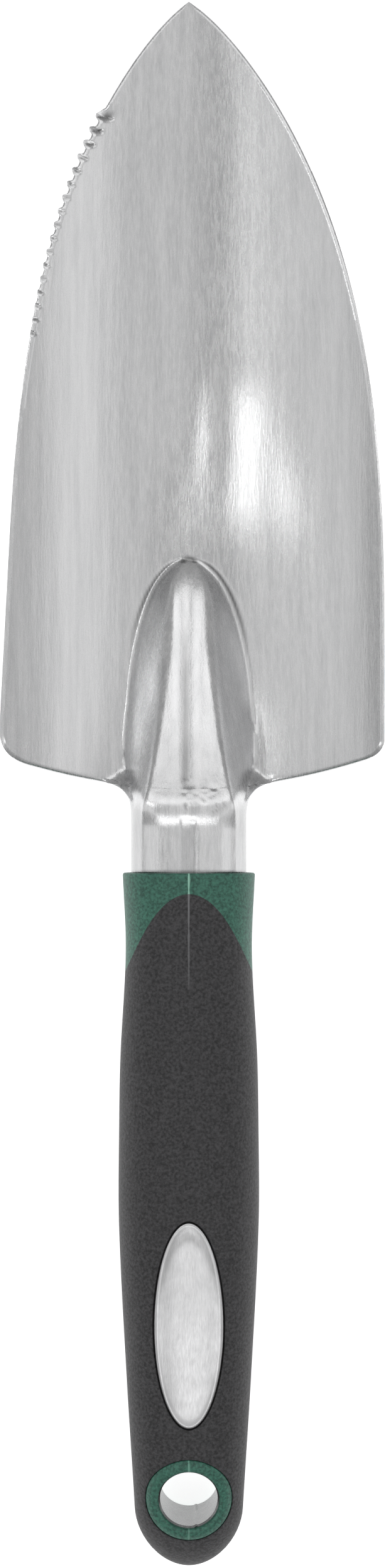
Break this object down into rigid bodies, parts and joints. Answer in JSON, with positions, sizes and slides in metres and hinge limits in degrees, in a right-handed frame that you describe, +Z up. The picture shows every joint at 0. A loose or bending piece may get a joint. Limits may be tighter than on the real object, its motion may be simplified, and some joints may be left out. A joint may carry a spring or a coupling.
{
  "type": "hand trowel",
  "caption": "Garden hand trowel: deep cast metal scoop with one serrated edge, short neck, and a two-colour moulded handle with an oval thumb plate and a hang hole.",
  "frame": {"origin": "on the surface that the tool lies on, below the middle of its length and width", "axes": "+Y along the tool towards the tip of the scoop, +X to the right of the scoop, +Z up out of the scoop's hollow"},
  "size_m": [0.0807, 0.3296, 0.0297],
  "materials": {
    "cast_metal": "satin, brushed lengthwise, with some casting grain at the rib and neck",
    "core_plastic": "fine moulded grain",
    "grip_rubber": "soft matte with a fine grain",
    "plate_metal": "brushed lengthwise, bright bevelled rim",
    "bonding_pad": "thin bonding pad, hidden"
  },
  "bodies": {
    "root": {"blade_casting": "cast_metal", "handle_core": "core_plastic", "grip": "grip_rubber", "thumb_inlay": "plate_metal", "inlay_adhesive": "bonding_pad"}
  },
  "joints": []
}
